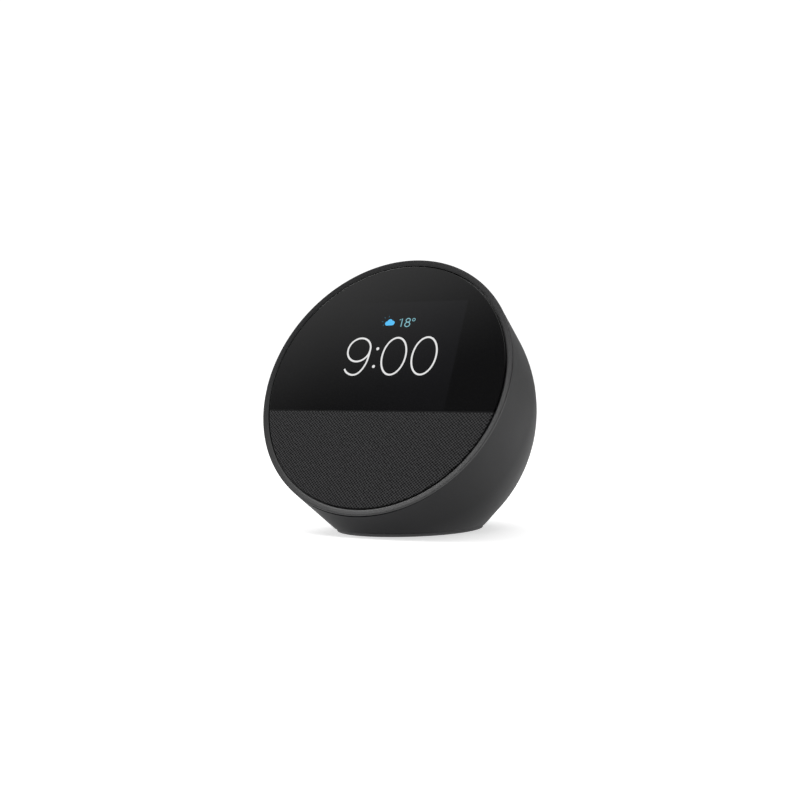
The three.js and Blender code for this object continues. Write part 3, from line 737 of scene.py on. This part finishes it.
def lit(name, hex_colour, strength):
    """Light from the panel, seen through the glass, with the panel's fine dot pattern."""
    material, tree = new_material(name)
    where = add(tree, "TexCoord").outputs["Object"]
    # The panel's dots are 0.12 mm apart, drawn at 0.4 mm so that they show.
    dots = add(tree, "TexNoise", {"Vector": where, "Scale": 1 / (0.4 * MM)})
    shade = add(tree, "MixRGB", {
        "Fac": 0.06, "Color1": linear(hex_colour), "Color2": dots.outputs["Fac"]})
    shader = add(tree, "BsdfPrincipled", {
        "Base Color": linear("#050505"), "Roughness": 0.1,
        "Emission Color": shade.outputs[0], "Emission Strength": strength})
    add(tree, "OutputMaterial", {"Surface": shader.outputs[0]})
    return material


def smooth(points, steps=8):
    """More points, on a smooth curve through the given ones."""
    ends = [points[0], *points, points[-1]]
    curve = []
    for a, b, c, d in zip(ends, ends[1:], ends[2:], ends[3:]):
        for i in range(steps):
            t = i / steps
            curve.append(tuple(
                0.5 * (2 * q + (r - p) * t + (2 * p - 5 * q + 4 * r - s) * t * t
                       + (3 * q - p - 3 * r + s) * t ** 3)
                for p, q, r, s in zip(a, b, c, d)))
    return [*curve, points[-1]]


COLON_DOT = 0.68
ZERO_RADII = (5.5, 8.3)
NINE_BOWL, BOWL_RADII = (-15.1, 15.15), (5.35, 5.3)
NINE_TAIL = [(-9.8, 16.0), (-9.8, 12.6), (-10.2, 9.4), (-11.2, 6.8), (-12.7, 4.8), (-14.2, 3.95),
             (-15.8, 3.8), (-17.5, 4.3), (-18.8, 5.1), (-19.8, 6.2)]
reading = [
    stroke(oval(NINE_BOWL, BOWL_RADII), STROKE, closed=True),
    stroke(smooth(NINE_TAIL), STROKE),
    dot(NINE_TAIL[-1], STROKE / 2),
    dot((-6.3, 15.55), COLON_DOT),
    dot((-6.3, 7.55), COLON_DOT),
    stroke(oval((2.1, 12.1), ZERO_RADII), STROKE, closed=True),
    stroke(oval((16.1, 12.1), ZERO_RADII), STROKE, closed=True),
]
graphic("clock_reading", reading, lit("lit_white_panel", "#f4f4f4", 0.9))

THIN, FINE = 0.42, 0.3
temperature = [
    stroke([(0.9, 28.5), (2.1, 29.1), (2.1, 25.4)], THIN),
    stroke(oval((4.9, 28.3), (0.95, 0.85)), THIN, closed=True),
    stroke(oval((4.9, 26.4), (1.15, 1.0)), THIN, closed=True),
    stroke(oval((7.5, 28.5), (0.6, 0.6), 32), FINE, closed=True),
]
graphic("temperature_reading", temperature, lit("lit_pale_cyan_panel", "#8fd3e0", 0.75))

cloud = [
    dot((-4.7, 27.1), 1.0), dot((-3.6, 27.8), 1.2), dot((-2.3, 27.2), 1.05),
    ([Vector(p) for p in ((-4.7, 26.1), (-2.3, 26.15), (-2.3, 27.4), (-4.7, 27.4))], [(0, 1, 2, 3)]),
]
graphic("cloud_icon", cloud, lit("lit_sky_blue_panel", "#4cc3ff", 0.95))

# The rays of a dim teal sun behind the cloud.
SUN_CENTRE = Vector((-4.9, 28.0))
RAY_START, RAY_END = 1.9, 2.6
sun_rays = []
for degrees in (80, 130, 180, 230):
    towards = Vector((math.cos(math.radians(degrees)), math.sin(math.radians(degrees))))
    sun_rays.append(stroke([SUN_CENTRE + towards * RAY_START, SUN_CENTRE + towards * RAY_END], FINE))
graphic("sun_icon", sun_rays, lit("lit_dim_teal_panel", "#2f7f97", 0.5))

# ---- Grille fabric --------------------------------------------------------------------
# A dark grey cloth woven from melange yarn, stretched over the perforated carrier and glued
# round its back. It is taut, rolls over the carrier's edge and is open enough for sound.

FABRIC_LINE = SPLIT - 0.1
# (inset from the cloth's outline, out) in millimetres, from the turned edge to the flat.
FABRIC_PROFILE = [(0.15, -0.6), (0.02, -0.4), (0.05, -0.22), (0.2, -0.11), (0.45, -0.06), (0.9, -0.05)]
rows = [face_segment(FABRIC_LINE, False, inset, out) for inset, out in FABRIC_PROFILE]
flat_edge = rows[-1]
middle = sum(flat_edge, Vector()) / len(flat_edge)
for share in (0.94, 0.86, 0.76, 0.64, 0.5, 0.36, 0.22, 0.1):
    rows.append([middle + (p - middle) * share for p in flat_edge])
vertices, faces = bridge_rows(rows)
vertices.append(middle)
count = len(flat_edge)
last = len(vertices) - 1 - count
faces += [(last + i, last + (i + 1) % count, last + count) for i in range(count)]

# Woven polyester in a plain weave: warp and weft pass over and under each other every 0.7 mm,
# which reads as a fine chequer in diagonals. Each yarn mixes black and grey fibres, so the
# cloth looks flecked, with a soft sheen.
WARP_PERIOD, WEFT_PERIOD = 1.45 * MM, 1.28 * MM  # two yarns each
weave, tree = new_material("woven_melange_polyester")
where = add(tree, "TexCoord").outputs["Object"]
flat_on = add(tree, "Mapping", {"Vector": where, "Rotation": (FACE_TILT, 0, 0)})
wander = add(tree, "TexNoise", {"Vector": flat_on.outputs[0], "Scale": 1 / (4 * MM), "Detail": 1.0})
drift = add(tree, "Math", {0: wander.outputs["Fac"], 1: 0.5 * WEFT_PERIOD}, operation="MULTIPLY")
spread = add(tree, "SeparateXYZ", {"Vector": flat_on.outputs[0]})
waves = []
for axis, period in (("X", WARP_PERIOD), ("Z", WEFT_PERIOD)):
    moved = add(tree, "Math", {0: spread.outputs[axis], 1: drift.outputs[0]}, operation="ADD")
    phase = add(tree, "Math", {0: moved.outputs[0], 1: 2 * math.pi / period}, operation="MULTIPLY")
    waves.append(add(tree, "Math", {0: phase.outputs[0]}, operation="SINE"))
crossings = add(tree, "Math", {0: waves[0].outputs[0], 1: waves[1].outputs[0]}, operation="MULTIPLY")
fleck = add(tree, "TexNoise", {
    "Vector": flat_on.outputs[0], "Scale": 1 / (0.9 * MM), "Detail": 2.0, "Roughness": 0.8})
speckled = add(tree, "MapRange", {
    "Value": fleck.outputs["Fac"], "From Min": 0.35, "From Max": 0.65, "To Min": -0.35, "To Max": 0.35})
mixed = add(tree, "Math", {0: crossings.outputs[0], 1: speckled.outputs[0]}, operation="ADD")
level = add(tree, "MapRange", {"Value": mixed.outputs[0], "From Min": -0.75, "From Max": 0.75})
tone = add(tree, "MixRGB", {
    "Fac": level.outputs[0], "Color1": linear("#000000"), "Color2": linear("#484849")})
yarns = add(tree, "Bump", {"Height": level.outputs[0], "Distance": 0.05 * MM, "Strength": 0.5})
shader = add(tree, "BsdfPrincipled", {
    "Base Color": tone.outputs[0], "Normal": yarns.outputs[0], "Roughness": 0.95,
    "Specular IOR Level": 0.1, "Sheen Weight": 0.03, "Sheen Roughness": 0.5})
add(tree, "OutputMaterial", {"Surface": shader.outputs[0]})

cloth = mesh_object("woven_grille", vertices, faces, weave)
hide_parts("grille_fabric")

# ---- Table, light and viewpoint -------------------------------------------------------
# A pale table that runs to the horizon under soft light. The sky is brightest behind the
# speaker, overhead and at the left, as through a large diffuser, and the glass mirrors the
# edge of that brightness.

TABLE_REACH = 30.0  # metres each way
table_mesh = bpy.data.meshes.new("table")
corners = [(x * TABLE_REACH, y * TABLE_REACH, 0) for x, y in ((-1, -1), (1, -1), (1, 1), (-1, 1))]
table_mesh.from_pydata(corners, [], [(0, 1, 2, 3)])
table = bpy.data.objects.new("table", table_mesh)
bpy.context.scene.collection.objects.link(table)
pale, tree = new_material("pale_matt_laminate")
shader = add(tree, "BsdfPrincipled", {
    "Base Color": linear("#ededed"), "Roughness": 0.9, "Specular IOR Level": 0.1,
    "Emission Color": linear("#ffffff"), "Emission Strength": 0.66})
add(tree, "OutputMaterial", {"Surface": shader.outputs[0]})
table_mesh.materials.append(pale)


def lamp(name, kind, energy, towards, **settings):
    """A lamp that shines from a direction, given as azimuth and height in degrees."""
    data = bpy.data.lights.new(name, kind)
    data.energy = energy
    for key, value in settings.items():
        setattr(data, key, value)
    built = bpy.data.objects.new(name, data)
    azimuth, height, distance = math.radians(towards[0]), math.radians(towards[1]), towards[2]
    source = Vector((math.sin(azimuth) * math.cos(height), -math.cos(azimuth) * math.cos(height),
                     math.sin(height)))
    built.location = Vector((0, 0, 0.05)) + source * distance
    built.rotation_euler = source.to_track_quat("Z", "Y").to_euler()
    bpy.context.scene.collection.objects.link(built)


lamp("overhead_diffuser", "SUN", 1.0, (60, 80, 2.0), angle=math.radians(60))
lamp("left_softbox", "AREA", 1.9, (-72, 52, 1.0), shape="RECTANGLE", size=0.3, size_y=0.3)
lamp("high_softbox", "AREA", 0.8, (75, 62, 1.0), shape="RECTANGLE", size=0.5, size_y=0.5)

BRIGHT_SKY = (-0.31, 0.80, 0.45)
BACKDROP = 1.1  # how bright the sky itself looks
sky = bpy.data.worlds.new("studio")
sky.use_nodes = True
tree = sky.node_tree
tree.nodes.clear()
direction = add(tree, "TexCoord").outputs["Generated"]
facing = add(tree, "VectorMath", {0: direction, 1: BRIGHT_SKY}, operation="DOT_PRODUCT")
glow = add(tree, "MapRange", {
    "Value": facing.outputs["Value"], "From Min": 0.0, "From Max": 0.12, "To Min": 0.08, "To Max": 0.88},
    interpolation_type="SMOOTHSTEP")
aside = add(tree, "SeparateXYZ", {"Vector": direction})
shaded = add(tree, "MapRange", {
    "Value": aside.outputs["X"], "From Min": -0.1, "From Max": 0.3, "To Min": 1.0, "To Max": 0.12})
sky_level = add(tree, "Math", {0: glow.outputs[0], 1: shaded.outputs[0]}, operation="MULTIPLY")
seen = add(tree, "LightPath").outputs["Is Camera Ray"]
brightness = add(tree, "Mix", {"Factor": seen, "A": sky_level.outputs[0], "B": BACKDROP})
background = add(tree, "Background", {"Color": (1, 1, 1, 1), "Strength": brightness.outputs[0]})
add(tree, "OutputWorld", {"Surface": background.outputs[0]})
bpy.context.scene.world = sky
bpy.context.scene.view_settings.view_transform = "Standard"

VIEW_AZIMUTH, VIEW_HEIGHT = math.radians(30.17), math.radians(0.57)
VIEW_DISTANCE = 561.8 * MM
ASIDE, LIFT = -6.92 * MM, 6.73 * MM  # where the face's centre lies in the view
to_camera = Vector((math.sin(VIEW_AZIMUTH) * math.cos(VIEW_HEIGHT),
                    -math.cos(VIEW_AZIMUTH) * math.cos(VIEW_HEIGHT), math.sin(VIEW_HEIGHT)))
right = Vector((math.cos(VIEW_AZIMUTH), math.sin(VIEW_AZIMUTH), 0))
up = to_camera.cross(right)
camera = bpy.data.objects.new("camera", bpy.data.cameras.new("camera"))
camera.data.lens = 63
camera.data.sensor_width = 36
camera.data.clip_start = 0.01
camera.location = FACE_CENTRE + to_camera * VIEW_DISTANCE - right * ASIDE - up * LIFT
camera.rotation_euler = Matrix((right, up, to_camera)).transposed().to_euler()
bpy.context.scene.collection.objects.link(camera)
bpy.context.scene.camera = camera
